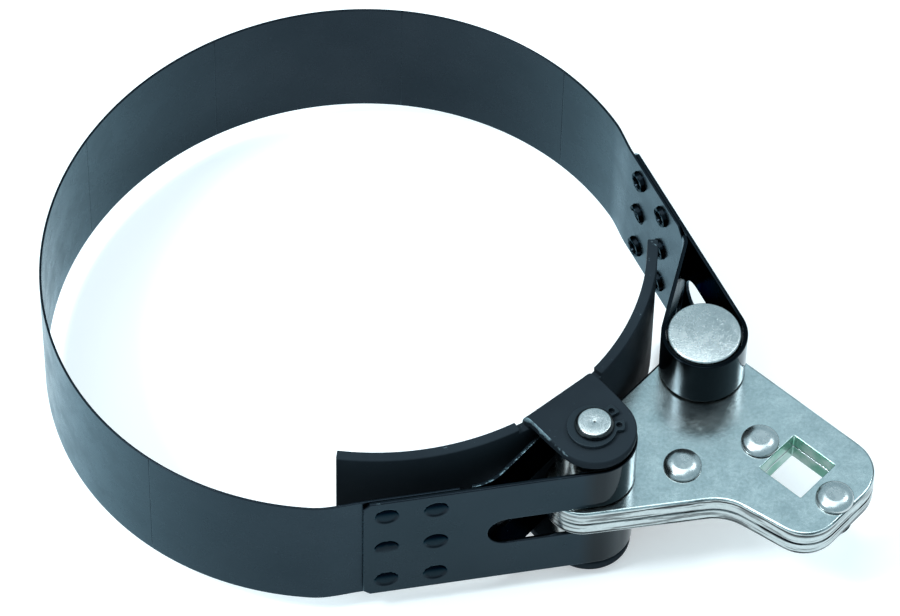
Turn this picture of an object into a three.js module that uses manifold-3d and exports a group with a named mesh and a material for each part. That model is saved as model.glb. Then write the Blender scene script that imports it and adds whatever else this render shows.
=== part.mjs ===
// Band-type oil filter wrench with a 1/2 inch square drive, in millimetres, +Z up.
// A spring-steel band and two looped straps close round the filter. The near strap's loop turns on the
// pivot pin, which also carries the shoe and the drive lever. The far strap's loop hangs on the lever's
// pull pin, so turning the lever clockwise draws the band tight.
// Plan coordinates have their zero at the middle of the band's oval; z = 0 is the band's lower edge until
// the whole group is moved at the end, so that it stands on z = 0 with its plan centred on the origin.
import * as THREE from 'three';
import { mergeVertices } from 'three/addons/utils/BufferGeometryUtils.js';
import Module from 'manifold-3d';

const wasm = await Module();
wasm.setup();

// ---------- driving dimensions ----------
const STRIP_WIDTH = 38.1;            // 1 1/2 inch band and straps
const MID_Z = STRIP_WIDTH / 2;
const TOUCH = 0.06;                  // gap between flat faces that touch
const FIT = 0.3;                     // gap between pieces that sit loosely on each other
const BORE_FIT = 0.1;                // how much wider a bore's radius is than its pin's
const CUT_REACH = 40;                // depth of a cut that goes right through a strap's two legs

const BAND_THICK = 0.6;
const OVAL = { long: 77.25, short: 73.1, tilt: 47 };       // outer half axes of the band, tilt in degrees
const BAND_JOINTS = [-150, -190, -225, -260, -300];        // places where the band is divided, degrees
const BAND_GAP = 0.3;                // gap between two lengths of the band
const BAND_STEP = 2.5;               // degrees per facet of the band
const OVAL_ENDS = [-97, -329];       // where the oval hands over to the straight ends

const PIVOT = { x: 58.0, y: -54.5 };                       // pivot pin's axis
const PULL = { x: 85.4, y: -24.0 };                        // pull pin's axis

const STRAP_THICK = 1.0;
const LOOP_RADIUS = 10.5;            // outside of a strap's loop
const BAND_CORNER = 2.7;             // cut across the corners of the band's ends
const STRAP_CORNER = 1.6;            // cut across the corners of a strap's end
const SLOT_HALF = 5;                 // half height of the slot that the lever passes through
const SLOT_START = 30;               // slot's round end, from the strap's end
// a strap's inner leg starts at legStart, from the strap's end, and the band reaches as far as that
const NEAR_STRAP = { angle: 9.6, length: 57.2, innerAngle: 49, legStart: 26.2, legBend: 12 };
const FAR_STRAP = { angle: -64.4, length: 56.4, innerAngle: -104, legStart: 28.4, legBend: 4 };

const CLINCH_COLUMNS = [5.6, 17.5];  // distances of the clinch columns from the strap's end
const CLINCH_PITCH = 13.4;
const CLINCH_RADIUS = 2.95;
const CLINCH_DEPTH = 0.65;
const BUTTON_RADIUS = 2.75;
const BUTTON_RISE = 0.95;
const LANCE_RISE = 0.6;              // the half-formed button in the middle of the first column

const SHOE = { thick: 2.6, radius: 68, reach: 81.4, low: -1.5, high: 39.6 };
const SHOE_AXIS = -50.4;             // from the shoe's middle to the pivot pin, degrees
const NEAR_ARM = 47.2;               // end of the shoe's arm beside the near strap, degrees from its axis
const FAR_ARM = { radius: 60, sweep: 38.1 };               // the other arm is curved more tightly
const EAR = { half: 10.4, radius: 10.2, gap: 1.2, bend: 1.0, relief: 2.3, reliefDepth: 0.2, root: 6 };

const PIVOT_PIN = { radius: 4.75, past: 2.7, chamfer: 0.9 };
const CIRCLIP = {
  thick: 1.1,
  inner: 4.4,
  ringRadius: 6.0,                   // outside of the ring, whose circle is shifted away from the gap
  shift: 0.6,
  lug: 7.2,                          // outer radius of the lugs
  hole: 0.75,
  gapAngle: 23,                      // where the gap is, degrees
  gapHalf: 10,                       // half angles of the gap and of a lug
  lugHalf: 12,
};
const SPACER_RADIUS = 8.8;

const PLATE = 4.3;                   // one lever plate
const DRIVE = { x: 107.35, y: -52.9, side: 12.8, turn: 47.5 };
const RIVETS = [[79.8, -52.8], [98.7, -45.8], [115.9, -62.1]];
const RIVET = { shank: 3.0, head: 4.65, flat: 2.6, rise: 1.9, edge: 0.3 };
const LEVER = {
  ringSide: 8.7,                     // from the line of the two pins to the edge beside the band
  driveWall: 15.1,                   // from the drive's middle to the edges beside it
  driveEnd: 17.1,
  waist: { x: 90.2, y: -61.9 },      // where the edge bends in between drive and pivot
  waistAngle: 146,
  nearAngle: 188.5,
  heel: 9.2,                         // corner radii, from the pivot round to the waist
  pullCorner: 8.6,
  driveCorner: 10.4,
  tipCorner: 9,
  waistRadius: 12,
};
const PULL_PIN = { radius: 9.0, stem: 4.75, chamfer: 0.4, floor: 4 };

// ---------- small helpers ----------
const rad = THREE.MathUtils.degToRad;
const vec = (x, y) => new THREE.Vector2(x, y);
const heading = (degrees) => vec(Math.cos(rad(degrees)), Math.sin(rad(degrees)));
const rightOf = (d) => vec(d.y, -d.x);
const at = (p, d, distance) => p.clone().addScaledVector(d, distance);
const boreOf = (pin) => pin + BORE_FIT;

function solid(geometry) {
  const plain = geometry.clone();
  plain.deleteAttribute('normal');
  plain.deleteAttribute('uv');
  const merged = mergeVertices(plain, 1e-4);
  return new wasm.Manifold(new wasm.Mesh({
    numProp: 3,
    vertProperties: new Float32Array(merged.attributes.position.array),
    triVerts: new Uint32Array(merged.index.array),
  }));
}

function geometryOf(manifold) {
  const mesh = manifold.getMesh();
  const geometry = new THREE.BufferGeometry();
  geometry.setAttribute('position', new THREE.BufferAttribute(new Float32Array(mesh.vertProperties), 3));
  geometry.setIndex(new THREE.BufferAttribute(new Uint32Array(mesh.triVerts), 1));
  geometry.computeVertexNormals();
  return geometry;
}

// a flat outline raised from z0 to z1
function raised(points, z0, z1, holes = []) {
  const shape = new THREE.Shape(points);
  shape.holes = holes.map((hole) => new THREE.Path(hole));
  const options = { depth: z1 - z0, bevelEnabled: false, curveSegments: 1 };
  return new THREE.ExtrudeGeometry(shape, options).translate(0, 0, z0);
}

const circlePoints = (x, y, radius, sides) => Array.from({ length: sides }, (_, i) =>
  at(vec(x, y), heading((i * 360) / sides), radius));

// a round or tapered body on a vertical axis, from [radius, z] pairs that start and end on the axis
function turned(profile, x, y, sides) {
  const points = profile.map(([radius, z]) => vec(radius, z));
  return new THREE.LatheGeometry(points, sides).rotateX(Math.PI / 2).translate(x, y, 0);
}

// a tube between z0 and z1
const tube = (x, y, outer, inner, z0, z1, sides) =>
  raised(circlePoints(x, y, outer, sides), z0, z1, [circlePoints(x, y, inner, sides)]);

// an outline drawn upright over a line in plan: [s, z] points, pushed along the direction n by depth
function upright(origin, u, n, outline, start, depth) {
  const shape = new THREE.Shape(outline.map(([s, z]) => vec(s, z)));
  const geometry = new THREE.ExtrudeGeometry(shape, { depth, bevelEnabled: false, curveSegments: 1 });
  const frame = new THREE.Matrix4().makeBasis(
    new THREE.Vector3(u.x, u.y, 0), new THREE.Vector3(0, 0, 1), new THREE.Vector3(n.x, n.y, 0));
  const corner = at(origin, n, start);
  geometry.applyMatrix4(frame.setPosition(corner.x, corner.y, 0));
  return u.x * n.y - u.y * n.x > 0 ? flipped(geometry) : geometry;
}

// the same surface with every triangle turned over
function flipped(geometry) {
  const p = geometry.attributes.position;
  for (let i = 0; i < p.count; i += 3) {
    const [x, y, z] = [p.getX(i), p.getY(i), p.getZ(i)];
    p.setXYZ(i, p.getX(i + 1), p.getY(i + 1), p.getZ(i + 1));
    p.setXYZ(i + 1, x, y, z);
  }
  return geometry;
}

const roundOutline = (s, z, radius, sides) => circlePoints(s, z, radius, sides).map((p) => [p.x, p.y]);

// the outline of a strip of sheet that follows a centre line
function stripOutline(line, thick) {
  const side = (sign) => line.map((p, i) => {
    const before = line[Math.max(i - 1, 0)];
    const after = line[Math.min(i + 1, line.length - 1)];
    return at(p, rightOf(after.clone().sub(before).normalize()), (sign * thick) / 2);
  });
  return [...side(1), ...side(-1).reverse()];
}

// points of an arc that rounds the corner between two straight lines
function fillet(before, corner, after, radius, steps) {
  const a = before.clone().sub(corner).normalize();
  const b = after.clone().sub(corner).normalize();
  const half = Math.acos(THREE.MathUtils.clamp(a.dot(b), -1, 1)) / 2;
  const centre = at(corner, a.clone().add(b).normalize(), radius / Math.sin(half));
  const start = at(corner, a, radius / Math.tan(half)).sub(centre);
  const end = at(corner, b, radius / Math.tan(half)).sub(centre);
  const from = start.angle();
  let sweep = end.angle() - from;
  if (sweep > Math.PI) sweep -= 2 * Math.PI;
  if (sweep < -Math.PI) sweep += 2 * Math.PI;
  return Array.from({ length: steps + 1 }, (_, i) => {
    const angle = from + (sweep * i) / steps;
    return vec(centre.x + radius * Math.cos(angle), centre.y + radius * Math.sin(angle));
  });
}

function arc(centre, radius, from, to, step) {
  const steps = Math.max(1, Math.round(Math.abs(to - from) / step));
  const turn = (to - from) / steps;
  return Array.from({ length: steps + 1 }, (_, i) => at(centre, heading(from + turn * i), radius));
}

// where two lines meet, each given by a point and a direction
function meet(p, d, q, e) {
  const cross = d.x * e.y - d.y * e.x;
  const t = ((q.x - p.x) * e.y - (q.y - p.y) * e.x) / cross;
  return at(p, d, t);
}

const group = new THREE.Group();
const look = (color, roughness, metalness) => new THREE.MeshStandardMaterial({ color, roughness, metalness });
const BLACK = look(0x20262a, 0.45, 0.6);
const SPRING = look(0x3a464c, 0.4, 0.7);
const ZINC = look(0xb4c0c4, 0.35, 0.9);

function add(name, geometry, material) {
  const mesh = new THREE.Mesh(geometry, material);
  mesh.name = name;
  group.add(mesh);
}

// ---------- the line of a joint between band and strap ----------
// side is +1 where the ring lies to the left of the way to the loop, -1 where it lies to the right
function jointOf(strap, centre, side) {
  const u = heading(strap.angle);
  const out = rightOf(u).multiplyScalar(side);
  const tangent = at(vec(centre.x, centre.y), out, LOOP_RADIUS);
  return { u, out, side, end: at(tangent, u, -strap.length), lap: strap.legStart - FIT };
}
const NEAR = jointOf(NEAR_STRAP, PIVOT, 1);
const FAR = jointOf(FAR_STRAP, PULL, -1);

// depth of the band's middle line below the strap's outer face
const BAND_DEPTH = STRAP_THICK + TOUCH + BAND_THICK / 2;
const bandPoint = (joint, s) => at(at(joint.end, joint.u, s), joint.out, -BAND_DEPTH);

// ---------- band ----------
function ovalPoint(degrees) {
  const t = rad(degrees - OVAL.tilt);
  const a = OVAL.long - BAND_THICK / 2;
  const b = OVAL.short - BAND_THICK / 2;
  const r = (a * b) / Math.hypot(b * Math.cos(t), a * Math.sin(t));
  return heading(degrees).multiplyScalar(r);
}
const ovalHeading = (degrees) => ovalPoint(degrees - 0.5).sub(ovalPoint(degrees + 0.5)).normalize();

// an easy curve from the oval to a joint's straight line
function handOver(degrees, joint, s) {
  const start = ovalPoint(degrees);
  const end = bandPoint(joint, s);
  const out = ovalHeading(degrees).multiplyScalar(joint.side > 0 ? -1 : 1);
  const pull = start.distanceTo(end) / 3;
  const curve = new THREE.CubicBezierCurve(start, at(start, out, pull), at(end, joint.u, -pull), end);
  return curve.getPoints(8);
}

const lapRun = (degrees, joint) => [...handOver(degrees, joint, 0).slice(1), bandPoint(joint, joint.lap)];

function ovalRun(from, to) {
  const steps = Math.max(2, Math.round(Math.abs(to - from) / BAND_STEP));
  return Array.from({ length: steps + 1 }, (_, i) => ovalPoint(from + ((to - from) * i) / steps));
}

// the clinches' buttons stand on the inner face of the band
function buttons(joint) {
  const inward = joint.out.clone().negate();
  return CLINCH_COLUMNS.flatMap((s, column) => [-1, 0, 1].map((row) => {
    const lanced = column === 0 && row === 0;
    const outline = roundOutline(s, MID_Z + row * CLINCH_PITCH, BUTTON_RADIUS, 20);
    const start = BAND_DEPTH - 0.1;
    const rise = BAND_THICK / 2 + 0.1 + (lanced ? LANCE_RISE : BUTTON_RISE);
    return solid(upright(joint.end, joint.u, inward, outline, start, rise));
  }));
}

// triangles that clip the corners of a strip's end at distance s, where the strip lies on the side "toward"
function cornerClips(joint, s, toward, size, depth, thick) {
  const past = s - toward;
  const inner = s + toward * size;
  const edges = [[0, -1], [STRIP_WIDTH, 1]];
  const inward = joint.out.clone().negate();
  return edges.map(([z, up]) => {
    const outline = [[past, z + up], [inner + toward, z + up], [past, z - up * (size + 1)]];
    return solid(upright(joint.end, joint.u, inward, outline, depth, thick));
  });
}

function bandLengths() {
  const half = (BAND_GAP / 2 / OVAL.short) * THREE.MathUtils.RAD2DEG;
  const cuts = [OVAL_ENDS[0], ...BAND_JOINTS, OVAL_ENDS[1]];
  for (let i = 0; i < cuts.length - 1; i += 1) {
    const first = i === 0;
    const last = i === cuts.length - 2;
    const run = ovalRun(cuts[i] - (first ? 0 : half), cuts[i + 1] + (last ? 0 : half));
    const lead = first ? lapRun(OVAL_ENDS[0], NEAR).reverse() : [];
    const tail = last ? lapRun(OVAL_ENDS[1], FAR) : [];
    let body = solid(raised(stripOutline([...lead, ...run, ...tail], BAND_THICK), 0, STRIP_WIDTH));
    const joint = first ? NEAR : FAR;
    if (first || last) {
      for (const button of buttons(joint)) body = body.add(button);
      const clips = cornerClips(joint, joint.lap, -1, BAND_CORNER, 0, CUT_REACH);
      for (const clip of clips) body = body.subtract(clip);
    }
    add(`band_${i + 1}`, geometryOf(body), SPRING);
  }
}
bandLengths();

// ---------- straps ----------
function strapLine(strap, joint, centre) {
  const c = vec(centre.x, centre.y);
  const ring = LOOP_RADIUS - STRAP_THICK / 2;
  const inward = joint.out.clone().negate();
  const outerStart = at(joint.end, inward, STRAP_THICK / 2);
  const innerU = heading(strap.innerAngle);
  const innerSide = rightOf(innerU).multiplyScalar(-joint.side);
  const innerTangent = at(c, innerSide, ring);
  const innerStart = at(at(outerStart, inward, STRAP_THICK + TOUCH), joint.u, strap.legStart);
  const bend = meet(innerStart, joint.u, innerTangent, innerU);
  const angleOf = (d) => d.angle() * THREE.MathUtils.RAD2DEG;
  const from = angleOf(joint.out);
  let to = angleOf(innerSide);
  if (joint.side > 0 && to < from) to += 360;
  if (joint.side < 0 && to > from) to -= 360;
  const inner = [...fillet(innerTangent, bend, innerStart, strap.legBend, 5), innerStart];
  return [outerStart, ...arc(c, ring, from, to, 9), ...inner];
}

function strap(name, params, joint, centre) {
  const inward = joint.out.clone().negate();
  let body = solid(raised(stripOutline(strapLine(params, joint, centre), STRAP_THICK), 0, STRIP_WIDTH));
  const slotStart = SLOT_START + SLOT_HALF;
  const far = params.length + LOOP_RADIUS + 10;
  const slotOutline = [
    [far, MID_Z - SLOT_HALF],
    [far, MID_Z + SLOT_HALF],
    ...arc(vec(slotStart, MID_Z), SLOT_HALF, 90, 270, 15).map((p) => [p.x, p.y]),
  ];
  body = body.subtract(solid(upright(joint.end, joint.u, inward, slotOutline, -1, CUT_REACH)));
  for (const [column, s] of CLINCH_COLUMNS.entries()) {
    for (const row of [-1, 0, 1]) {
      const outline = roundOutline(s, MID_Z + row * CLINCH_PITCH, CLINCH_RADIUS, 20);
      const lower = column === 0 && row === 0 ? outline.filter(([, z]) => z > MID_Z - 0.6) : outline;
      body = body.subtract(solid(upright(joint.end, joint.u, inward, lower, -1, 1 + CLINCH_DEPTH)));
    }
  }
  const cutDepth = STRAP_THICK + TOUCH / 2;
  for (const clip of cornerClips(joint, 0, 1, STRAP_CORNER, 0, cutDepth)) body = body.subtract(clip);
  add(name, geometryOf(body), BLACK);
}
strap('pivot_strap', NEAR_STRAP, NEAR, PIVOT);
strap('pull_strap', FAR_STRAP, FAR, PULL);

// ---------- shoe ----------
function shoe() {
  const c = vec(PIVOT.x, PIVOT.y);
  const axis = heading(SHOE_AXIS);
  const across = vec(-axis.y, axis.x);
  const centre = at(c, axis, -SHOE.reach);
  const flat = THREE.MathUtils.radToDeg(Math.asin(EAR.half / SHOE.radius));
  const flatRadius = Math.sqrt(SHOE.radius ** 2 - EAR.half ** 2);
  const farStart = SHOE_AXIS + flat + 3;
  const farCentre = at(centre, heading(farStart), SHOE.radius - FAR_ARM.radius);
  const line = [
    ...arc(centre, SHOE.radius + SHOE.thick / 2, SHOE_AXIS - NEAR_ARM, SHOE_AXIS - flat - 3, 4),
    ...[-EAR.half, EAR.half].map((y) => at(at(centre, axis, flatRadius + SHOE.thick / 2), across, y)),
    ...arc(farCentre, FAR_ARM.radius + SHOE.thick / 2, farStart, farStart + FAR_ARM.sweep, 4),
  ];
  let body = solid(raised(stripOutline(line, SHOE.thick), SHOE.low, SHOE.high));

  const earInner = [-EAR.gap, STRIP_WIDTH + EAR.gap];
  earInner.forEach((z, i) => {
    const up = i === 0 ? -1 : 1;
    const edge = z + up * SHOE.thick;
    const bendStart = z - up * EAR.bend;
    // room for the bend and a relief notch on each side of it
    const notchHalf = EAR.half + EAR.relief;
    const notchEnd = bendStart - up * EAR.reliefDepth;
    const past = edge + up;
    const notch = [[-notchHalf, notchEnd], [notchHalf, notchEnd], [notchHalf, past], [-notchHalf, past]];
    body = body.subtract(solid(upright(centre, across, axis, notch, flatRadius - 3, SHOE.thick + 6)));
    // the ear's section: up the wall, round the bend and out over the strap's loop
    const bendCentre = [flatRadius + SHOE.thick + EAR.bend, bendStart];
    const bendArc = (radius, from, to) => arc(vec(0, 0), radius, from, to, 15)
      .map((p) => [bendCentre[0] + p.x, bendCentre[1] + up * p.y]);
    const reach = SHOE.reach + EAR.radius + 1;
    const section = [
      [flatRadius, bendStart - up * EAR.root],
      ...bendArc(EAR.bend + SHOE.thick, 180, 90),
      [reach, edge], [reach, z],
      ...bendArc(EAR.bend, 90, 180),
      [flatRadius + SHOE.thick, bendStart - up * EAR.root],
    ];
    const slab = solid(upright(at(centre, across, -EAR.half), axis, across, section, 0, 2 * EAR.half));
    const plan = [
      at(at(centre, axis, flatRadius - 1), across, EAR.half),
      at(at(centre, axis, flatRadius - 1), across, -EAR.half),
      ...arc(c, EAR.radius, SHOE_AXIS - 90, SHOE_AXIS + 90, 9),
    ];
    const [z0, z1] = [bendStart - up * (EAR.root + 1), past].sort((a, b) => a - b);
    const trim = solid(raised(plan, z0, z1));
    body = body.add(slab.intersect(trim));
  });
  const boreOutline = circlePoints(c.x, c.y, boreOf(PIVOT_PIN.radius), 32);
  const bore = solid(raised(boreOutline, SHOE.low - 8, SHOE.high + 8));
  add('shoe', geometryOf(body.subtract(bore)), BLACK);
}
shoe();

// ---------- pivot pin, its circlips and spacers ----------
const EAR_TOP = STRIP_WIDTH + EAR.gap + SHOE.thick;
const CLIP_FLOOR = EAR_TOP + 0.15;
const PIN_TOP = EAR_TOP + PIVOT_PIN.past;
const mirrorZ = (z) => STRIP_WIDTH - z;

function pivotPin() {
  const { radius, chamfer } = PIVOT_PIN;
  const groove = CIRCLIP.inner - FIT / 2;
  const grooveTop = CLIP_FLOOR + CIRCLIP.thick + 0.15;
  const upper = [
    [radius, CLIP_FLOOR - 0.15], [groove, CLIP_FLOOR - 0.15],
    [groove, grooveTop], [radius, grooveTop],
    [radius, PIN_TOP - chamfer], [radius - chamfer, PIN_TOP], [0, PIN_TOP],
  ];
  const lower = upper.map(([r, z]) => [r, mirrorZ(z)]).reverse();
  add('pivot_pin', turned([...lower, ...upper], PIVOT.x, PIVOT.y, 32), ZINC);
}
pivotPin();

// an external circlip: a ring thickest opposite its gap, with a drilled lug on each side of the gap
function circlip(name, z) {
  const { thick, inner, ringRadius, shift, lug, hole, gapAngle, gapHalf, lugHalf } = CIRCLIP;
  const ringAt = (a) => {
    const along = -shift * Math.cos(rad(a));
    return along + Math.sqrt(ringRadius ** 2 - (shift * Math.sin(rad(a))) ** 2);
  };
  const outerAt = (a) => (a < gapHalf + 2 * lugHalf ? lug : ringAt(a));
  const turns = [gapHalf, gapHalf + 8, gapHalf + 16, gapHalf + 2 * lugHalf - 0.5, gapHalf + 2 * lugHalf + 3];
  for (let a = 48; a < 180; a += 12) turns.push(a);
  const angles = [...turns, 180, ...turns.map((a) => 360 - a).reverse()];
  const c = vec(PIVOT.x, PIVOT.y);
  const outside = angles.map((a) => at(c, heading(gapAngle + a), outerAt(Math.min(a, 360 - a))));
  const inside = angles.map((a) => at(c, heading(gapAngle + a), inner)).reverse();
  const holes = [1, -1].map((side) => {
    const p = at(c, heading(gapAngle + side * (gapHalf + lugHalf)), (inner + lug) / 2 + 0.1);
    return circlePoints(p.x, p.y, hole, 10).reverse();
  });
  add(name, raised([...outside, ...inside], z, z + thick, holes), BLACK);
}
circlip('circlip_top', CLIP_FLOOR);
circlip('circlip_bottom', mirrorZ(CLIP_FLOOR) - CIRCLIP.thick);

const PLATE_FACES = [-PLATE - TOUCH / 2, -TOUCH / 2, TOUCH / 2, PLATE + TOUCH / 2].map((z) => MID_Z + z);
const spacer = (name, z0, z1) => add(name,
  tube(PIVOT.x, PIVOT.y, SPACER_RADIUS, boreOf(PIVOT_PIN.radius), z0, z1, 32), ZINC);
const SPACER_END = EAR.gap - FIT;
spacer('spacer_top', PLATE_FACES[3] + FIT, STRIP_WIDTH + SPACER_END);
spacer('spacer_bottom', -SPACER_END, PLATE_FACES[0] - FIT);

// ---------- lever ----------
function leverOutline() {
  const pivot = vec(PIVOT.x, PIVOT.y);
  const pull = vec(PULL.x, PULL.y);
  const drive = vec(DRIVE.x, DRIVE.y);
  const along = pull.clone().sub(pivot).normalize();
  const outwards = vec(-along.y, along.x);
  const slope = heading(DRIVE.turn - 90);
  const edges = [
    { p: at(pivot, outwards, LEVER.ringSide), d: along },
    { p: at(drive, heading(DRIVE.turn), LEVER.driveWall), d: slope },
    { p: at(drive, slope, LEVER.driveEnd), d: heading(DRIVE.turn) },
    { p: vec(LEVER.waist.x, LEVER.waist.y), d: heading(LEVER.waistAngle) },
    { p: vec(LEVER.waist.x, LEVER.waist.y), d: heading(LEVER.nearAngle) },
  ];
  const corner = (i) => meet(edges[i].p, edges[i].d, edges[(i + 1) % 5].p, edges[(i + 1) % 5].d);
  const corners = [corner(4), corner(0), corner(1), corner(2), vec(LEVER.waist.x, LEVER.waist.y)];
  const radii = [LEVER.heel, LEVER.pullCorner, LEVER.driveCorner, LEVER.tipCorner, LEVER.waistRadius];
  return corners.flatMap((p, i) => fillet(corners[(i + 4) % 5], p, corners[(i + 1) % 5], radii[i], 9));
}

function leverPlate(name, z0, z1) {
  const drive = [0, 1, 2, 3].map((i) =>
    at(vec(DRIVE.x, DRIVE.y), heading(DRIVE.turn + 45 + 90 * i), DRIVE.side / Math.SQRT2));
  const holes = [
    drive,
    circlePoints(PIVOT.x, PIVOT.y, boreOf(PIVOT_PIN.radius), 32),
    circlePoints(PULL.x, PULL.y, boreOf(PULL_PIN.stem), 36),
    ...RIVETS.map(([x, y]) => circlePoints(x, y, boreOf(RIVET.shank), 24)),
  ];
  add(name, raised(leverOutline(), z0, z1, holes), ZINC);
}
leverPlate('lever_plate_bottom', PLATE_FACES[0], PLATE_FACES[1]);
leverPlate('lever_plate_top', PLATE_FACES[2], PLATE_FACES[3]);

RIVETS.forEach(([x, y], i) => {
  const seat = PLATE_FACES[3] + TOUCH;
  const dome = [];
  for (let k = 0; k <= 4; k += 1) {
    const t = (k / 4) * (Math.PI / 2);
    const radius = RIVET.flat + (RIVET.head - RIVET.flat) * Math.cos(t);
    dome.push([radius, seat + RIVET.edge + (RIVET.rise - RIVET.edge) * Math.sin(t)]);
  }
  const upper = [[RIVET.shank, seat], [RIVET.head, seat], ...dome, [0, seat + RIVET.rise]];
  const lower = upper.map(([r, z]) => [r, mirrorZ(z)]).reverse();
  add(`lever_rivet_${i + 1}`, turned([...lower, ...upper], x, y, 24), ZINC);
});

// ---------- pull pin: an upper barrel with a stem, and a lower barrel pressed on the stem ----------
const barrelTop = PLATE_FACES[3] + FIT;
const stemEnd = PULL_PIN.floor + FIT;
add('pull_pin', turned([
  [0, stemEnd], [PULL_PIN.stem, stemEnd], [PULL_PIN.stem, barrelTop], [PULL_PIN.radius, barrelTop],
  [PULL_PIN.radius, STRIP_WIDTH - PULL_PIN.chamfer], [PULL_PIN.radius - PULL_PIN.chamfer, STRIP_WIDTH],
  [0, STRIP_WIDTH],
], PULL.x, PULL.y, 36), ZINC);
add('pull_pin_collar', turned([
  [0, 0], [PULL_PIN.radius - PULL_PIN.chamfer, 0], [PULL_PIN.radius, PULL_PIN.chamfer],
  [PULL_PIN.radius, mirrorZ(barrelTop)], [boreOf(PULL_PIN.stem), mirrorZ(barrelTop)],
  [boreOf(PULL_PIN.stem), PULL_PIN.floor], [0, PULL_PIN.floor],
], PULL.x, PULL.y, 36), ZINC);

// ---------- stand the wrench on z = 0 with its plan centred ----------
const box = new THREE.Box3().setFromObject(group);
const middle = box.getCenter(new THREE.Vector3());
group.position.set(-middle.x, -middle.y, -box.min.z);

export default group;
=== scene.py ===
"""Band-type oil filter wrench: high-detail pieces, materials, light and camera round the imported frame."""
import math
from bisect import bisect_right

import bmesh
import bpy
from mathutils import Matrix, Vector
from mathutils.geometry import delaunay_2d_cdt


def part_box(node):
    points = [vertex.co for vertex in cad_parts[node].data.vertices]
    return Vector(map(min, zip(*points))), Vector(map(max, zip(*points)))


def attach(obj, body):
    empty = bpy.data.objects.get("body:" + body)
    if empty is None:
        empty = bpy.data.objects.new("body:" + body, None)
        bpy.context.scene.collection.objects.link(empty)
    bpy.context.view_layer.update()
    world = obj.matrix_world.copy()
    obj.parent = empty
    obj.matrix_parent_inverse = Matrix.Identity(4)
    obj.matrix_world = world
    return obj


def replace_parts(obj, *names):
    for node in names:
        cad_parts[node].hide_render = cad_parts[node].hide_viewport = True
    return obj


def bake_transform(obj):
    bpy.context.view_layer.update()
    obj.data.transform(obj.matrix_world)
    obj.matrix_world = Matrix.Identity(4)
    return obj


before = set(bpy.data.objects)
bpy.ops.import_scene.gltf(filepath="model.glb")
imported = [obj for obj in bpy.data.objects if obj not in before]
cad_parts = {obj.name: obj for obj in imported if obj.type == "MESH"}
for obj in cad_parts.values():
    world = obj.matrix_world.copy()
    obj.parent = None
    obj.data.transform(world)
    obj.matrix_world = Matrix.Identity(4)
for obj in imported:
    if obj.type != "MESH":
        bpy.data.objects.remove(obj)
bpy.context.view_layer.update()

# ---------- sizes in millimetres; plan coordinates start at the middle of the band's oval ----------
MM = 0.001
WIDTH = 38.1                              # height of the band and straps
MID = WIDTH / 2
TOUCH = 0.06                              # gap between faces that lie on each other

BAND, BAND_ROUND = 0.6, 0.14
OVAL_LONG, OVAL_SHORT, OVAL_TILT = 77.25, 73.1, 47
OVAL_ENDS = (-97, -329)
OVAL_STEP = 0.5
HAND_OVER_STEPS = 32
SEAMS = (-128, -170, -207.5, -242.5, -280, -314)     # where one stretch of the band ends and the next begins
SEAM_STEP = 0.7                           # short facets beside a seam, so that the shading runs on across it
SEAM_LAP = 0.04                           # the stretches run into each other by this much

PIVOT = Vector((58.0, -54.5))
PULL = Vector((85.4, -24.0))
STRAP, STRAP_ROUND, SLOT_ROUND = 1.0, 0.22, 0.18
LOOP = 10.5
LAP_CORNER = 2.7
STRAP_CORNER = 1.6
FIT = 0.3
SLOT_HALF = 5.0
SLOT_START = 30.0
NEAR_STRAP = {"angle": 9.6, "length": 57.2, "inner": 49, "side": 1, "centre": PIVOT,
              "leg": 26.2, "bend": 12.0}
FAR_STRAP = {"angle": -64.4, "length": 56.4, "inner": -104, "side": -1, "centre": PULL,
             "leg": 28.4, "bend": 4.0}

COLUMNS = (5.6, 17.5)
ROWS = (-13.4, 0.0, 13.4)
DENT_RADIUS, DENT_DEPTH, DENT_WALL = 2.95, 0.35, 0.5
BUTTON_RADIUS, BUTTON_RISE, BUTTON_WALL, BUTTON_SKIRT = 2.75, 0.95, 0.22, 0.1
DISH_RADIUS, DISH_DEPTH = 1.7, 0.45
LANCE_START, LANCE_RUN = 0.9, 1.0         # a lanced clinch is cut through below its middle
DENT_LANCE_START, DENT_LANCE_RUN = 1.1, 1.2

SHOE, SHOE_RADIUS, SHOE_REACH, SHOE_LOW, SHOE_HIGH = 2.6, 68.0, 81.4, -1.5, 39.6
SHOE_AXIS, NEAR_ARM = -50.4, 47.2
FAR_ARM_RADIUS, FAR_ARM_SWEEP = 60.0, 38.1
FAR_ARM_START, NEAR_ARM_END = 3.0, 1.5    # degrees past the flat between the arms
EAR_HALF, EAR_RADIUS, EAR_GAP, EAR_BEND, EAR_RELIEF, RELIEF_DEPTH = 10.4, 10.2, 1.2, 1.0, 2.3, 0.2
SHOE_ROUND, EAR_ROUND, EAR_BORE_ROUND = 0.35, 0.4, 0.15

PIN_RADIUS, PIN_PAST, PIN_CHAMFER, PIN_EASE = 4.75, 2.7, 0.9, 0.2
CENTRE_RADIUS, CENTRE_DEPTH = 0.35, 0.25
BORE_FIT = 0.1
CLIP, CLIP_INNER, CLIP_RING, CLIP_SHIFT, CLIP_LUG, CLIP_HOLE = 1.1, 4.4, 6.0, 0.6, 7.2, 0.75
CLIP_GAP, CLIP_GAP_HALF, CLIP_LUG_HALF = 23, 10, 12
CLIP_PLAY, CLIP_ROUND, CLIP_HOLE_ROUND, CLIP_HOLE_OUT = 0.15, 0.12, 0.08, 0.1
SPACER_RADIUS, SPACER_EASE = 8.8, 0.3

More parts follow.
